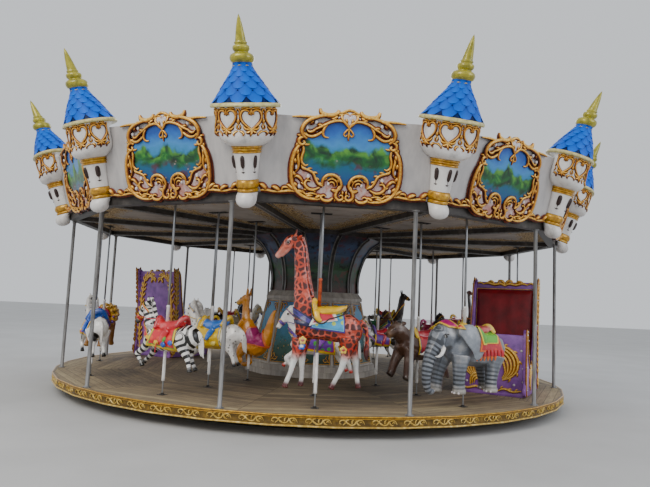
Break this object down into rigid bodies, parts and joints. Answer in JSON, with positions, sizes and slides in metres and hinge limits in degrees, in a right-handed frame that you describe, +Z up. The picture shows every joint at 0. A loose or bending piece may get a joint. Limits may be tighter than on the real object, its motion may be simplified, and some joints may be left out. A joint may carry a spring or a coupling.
{
  "type": "fairground carousel",
  "caption": "Turning fairground carousel with a leaning crown of turrets and framed pictures, animals on rising rods, chariots, and a painted hub on a round boarded deck.",
  "frame": {"origin": "centre of the ride on the ground", "axes": "+Z up along the mast, -Y towards the front panel, +X to the right as seen from the front"},
  "size_m": [11.2184, 11.2184, 5.2634],
  "materials": {
    "ground_steel": "painted steel, dark and dusty",
    "rod_steel": "bright round bar",
    "deck_boards": "worn bare boards",
    "gold_paint": "gold-painted moulding",
    "hub_grey": "off-white paint, dusty",
    "hub_panels": "painted panels with frames",
    "dark_frame": "dark brown painted steel",
    "ceiling_panels": "painted sheets, weathered",
    "crown_white": "off-white moulded shell with gold frames",
    "roof_sheet": "coated roof cloth",
    "pole_steel": "brushed steel tube",
    "turret_paint": "blue, white and gold painted moulding",
    "chariot_paint": "purple paint with gold carving and red seat",
    "giraffe_coat": "gloss-painted moulded animal",
    "zebra_coat": "gloss-painted moulded animal",
    "spotted_horse_coat": "gloss-painted moulded animal",
    "lion_coat": "gloss-painted moulded animal",
    "elephant_coat": "gloss-painted moulded animal",
    "ostrich_coat": "gloss-painted moulded animal",
    "alpaca_coat": "gloss-painted moulded animal",
    "brown_horse_coat": "gloss-painted moulded animal",
    "grey_horse_coat": "gloss-painted moulded animal",
    "black_horse_coat": "gloss-painted moulded animal",
    "plumed_horse_coat": "gloss-painted moulded animal",
    "draped_horse_coat": "gloss-painted moulded animal",
    "bear_coat": "gloss-painted moulded animal",
    "dark_pony_coat": "gloss-painted moulded animal",
    "chestnut_pony_coat": "gloss-painted moulded animal",
    "white_pony_coat": "gloss-painted moulded animal",
    "cream_pony_coat": "gloss-painted moulded animal",
    "kangaroo_coat": "gloss-painted moulded animal",
    "goat_coat": "gloss-painted moulded animal",
    "pied_pony_coat": "gloss-painted moulded animal"
  },
  "bodies": {
    "base": {"ground_frame": "ground_steel", "centre_mast": "ground_steel"},
    "turntable": {"guide_frame": "rod_steel", "deck": "deck_boards", "deck_rim": "gold_paint", "hub_plinth": "hub_grey", "hub_drum": "hub_panels", "hub_cap": "hub_grey", "hub_flare": "dark_frame", "roof_frame": "dark_frame", "eaves_ring": "dark_frame", "ceiling": "ceiling_panels", "crown_wall": "crown_white", "roof": "roof_sheet", "pole_01": "pole_steel", "pole_02": "pole_steel", "pole_03": "pole_steel", "pole_04": "pole_steel", "pole_05": "pole_steel", "pole_06": "pole_steel", "pole_07": "pole_steel", "pole_08": "pole_steel", "pole_09": "pole_steel", "pole_10": "pole_steel", "pole_11": "pole_steel", "pole_12": "pole_steel", "turret_01": "turret_paint", "turret_02": "turret_paint", "turret_03": "turret_paint", "turret_04": "turret_paint", "turret_05": "turret_paint", "turret_06": "turret_paint", "turret_07": "turret_paint", "turret_08": "turret_paint", "turret_09": "turret_paint", "turret_10": "turret_paint", "turret_11": "turret_paint", "turret_12": "turret_paint", "chariot_right": "chariot_paint", "chariot_left": "chariot_paint"},
    "giraffe": {"giraffe": "giraffe_coat"},
    "zebra": {"zebra": "zebra_coat"},
    "spotted_horse": {"spotted_horse": "spotted_horse_coat"},
    "lion": {"lion": "lion_coat"},
    "elephant": {"elephant": "elephant_coat"},
    "ostrich": {"ostrich": "ostrich_coat"},
    "alpaca": {"alpaca": "alpaca_coat"},
    "brown_horse": {"brown_horse": "brown_horse_coat"},
    "grey_horse": {"grey_horse": "grey_horse_coat"},
    "black_horse": {"black_horse": "black_horse_coat"},
    "plumed_horse": {"plumed_horse": "plumed_horse_coat"},
    "draped_horse": {"draped_horse": "draped_horse_coat"},
    "bear": {"bear": "bear_coat"},
    "dark_pony": {"dark_pony": "dark_pony_coat"},
    "chestnut_pony": {"chestnut_pony": "chestnut_pony_coat"},
    "white_pony": {"white_pony": "white_pony_coat"},
    "cream_pony": {"cream_pony": "cream_pony_coat"},
    "kangaroo": {"kangaroo": "kangaroo_coat"},
    "goat": {"goat": "goat_coat"},
    "pied_pony": {"pied_pony": "pied_pony_coat"}
  },
  "joints": [
    {"name": "carousel_turn", "type": "hinge", "parent": "base", "child": "turntable", "pos_m": [0, 0, 0], "axis": [0, 0, 1], "continuous": true},
    {"name": "giraffe_lift", "type": "slide", "parent": "turntable", "child": "giraffe", "axis": [0, 0, 1], "range_m": [-0.12, 0.12]},
    {"name": "zebra_lift", "type": "slide", "parent": "turntable", "child": "zebra", "axis": [0, 0, 1], "range_m": [-0.12, 0.12]},
    {"name": "spotted_horse_lift", "type": "slide", "parent": "turntable", "child": "spotted_horse", "axis": [0, 0, 1], "range_m": [-0.12, 0.12]},
    {"name": "lion_lift", "type": "slide", "parent": "turntable", "child": "lion", "axis": [0, 0, 1], "range_m": [-0.12, 0.12]},
    {"name": "elephant_lift", "type": "slide", "parent": "turntable", "child": "elephant", "axis": [0, 0, 1], "range_m": [-0.12, 0.12]},
    {"name": "ostrich_lift", "type": "slide", "parent": "turntable", "child": "ostrich", "axis": [0, 0, 1], "range_m": [-0.12, 0.12]},
    {"name": "alpaca_lift", "type": "slide", "parent": "turntable", "child": "alpaca", "axis": [0, 0, 1], "range_m": [-0.12, 0.12]},
    {"name": "brown_horse_lift", "type": "slide", "parent": "turntable", "child": "brown_horse", "axis": [0, 0, 1], "range_m": [-0.12, 0.12]},
    {"name": "grey_horse_lift", "type": "slide", "parent": "turntable", "child": "grey_horse", "axis": [0, 0, 1], "range_m": [-0.12, 0.12]},
    {"name": "black_horse_lift", "type": "slide", "parent": "turntable", "child": "black_horse", "axis": [0, 0, 1], "range_m": [-0.12, 0.12]},
    {"name": "plumed_horse_lift", "type": "slide", "parent": "turntable", "child": "plumed_horse", "axis": [0, 0, 1], "range_m": [-0.12, 0.12]},
    {"name": "draped_horse_lift", "type": "slide", "parent": "turntable", "child": "draped_horse", "axis": [0, 0, 1], "range_m": [-0.12, 0.12]},
    {"name": "bear_lift", "type": "slide", "parent": "turntable", "child": "bear", "axis": [0, 0, 1], "range_m": [-0.12, 0.12]},
    {"name": "dark_pony_lift", "type": "slide", "parent": "turntable", "child": "dark_pony", "axis": [0, 0, 1], "range_m": [-0.12, 0.12]},
    {"name": "chestnut_pony_lift", "type": "slide", "parent": "turntable", "child": "chestnut_pony", "axis": [0, 0, 1], "range_m": [-0.12, 0.12]},
    {"name": "white_pony_lift", "type": "slide", "parent": "turntable", "child": "white_pony", "axis": [0, 0, 1], "range_m": [-0.12, 0.12]},
    {"name": "cream_pony_lift", "type": "slide", "parent": "turntable", "child": "cream_pony", "axis": [0, 0, 1], "range_m": [-0.12, 0.12]},
    {"name": "kangaroo_lift", "type": "slide", "parent": "turntable", "child": "kangaroo", "axis": [0, 0, 1], "range_m": [-0.12, 0.12]},
    {"name": "goat_lift", "type": "slide", "parent": "turntable", "child": "goat", "axis": [0, 0, 1], "range_m": [-0.12, 0.12]},
    {"name": "pied_pony_lift", "type": "slide", "parent": "turntable", "child": "pied_pony", "axis": [0, 0, 1], "range_m": [-0.12, 0.12]}
  ],
  "couplings": [
    {"joint": "zebra_lift", "follows": "giraffe_lift", "ratio": -1},
    {"joint": "spotted_horse_lift", "follows": "giraffe_lift", "ratio": 1},
    {"joint": "lion_lift", "follows": "giraffe_lift", "ratio": -1},
    {"joint": "elephant_lift", "follows": "giraffe_lift", "ratio": 1},
    {"joint": "ostrich_lift", "follows": "giraffe_lift", "ratio": -1},
    {"joint": "alpaca_lift", "follows": "giraffe_lift", "ratio": 1},
    {"joint": "brown_horse_lift", "follows": "giraffe_lift", "ratio": -1},
    {"joint": "grey_horse_lift", "follows": "giraffe_lift", "ratio": 1},
    {"joint": "black_horse_lift", "follows": "giraffe_lift", "ratio": -1},
    {"joint": "plumed_horse_lift", "follows": "giraffe_lift", "ratio": 1},
    {"joint": "draped_horse_lift", "follows": "giraffe_lift", "ratio": -1},
    {"joint": "bear_lift", "follows": "giraffe_lift", "ratio": 1},
    {"joint": "dark_pony_lift", "follows": "giraffe_lift", "ratio": -1},
    {"joint": "chestnut_pony_lift", "follows": "giraffe_lift", "ratio": 1},
    {"joint": "white_pony_lift", "follows": "giraffe_lift", "ratio": -1},
    {"joint": "cream_pony_lift", "follows": "giraffe_lift", "ratio": 1},
    {"joint": "kangaroo_lift", "follows": "giraffe_lift", "ratio": -1},
    {"joint": "goat_lift", "follows": "giraffe_lift", "ratio": 1},
    {"joint": "pied_pony_lift", "follows": "giraffe_lift", "ratio": -1}
  ]
}
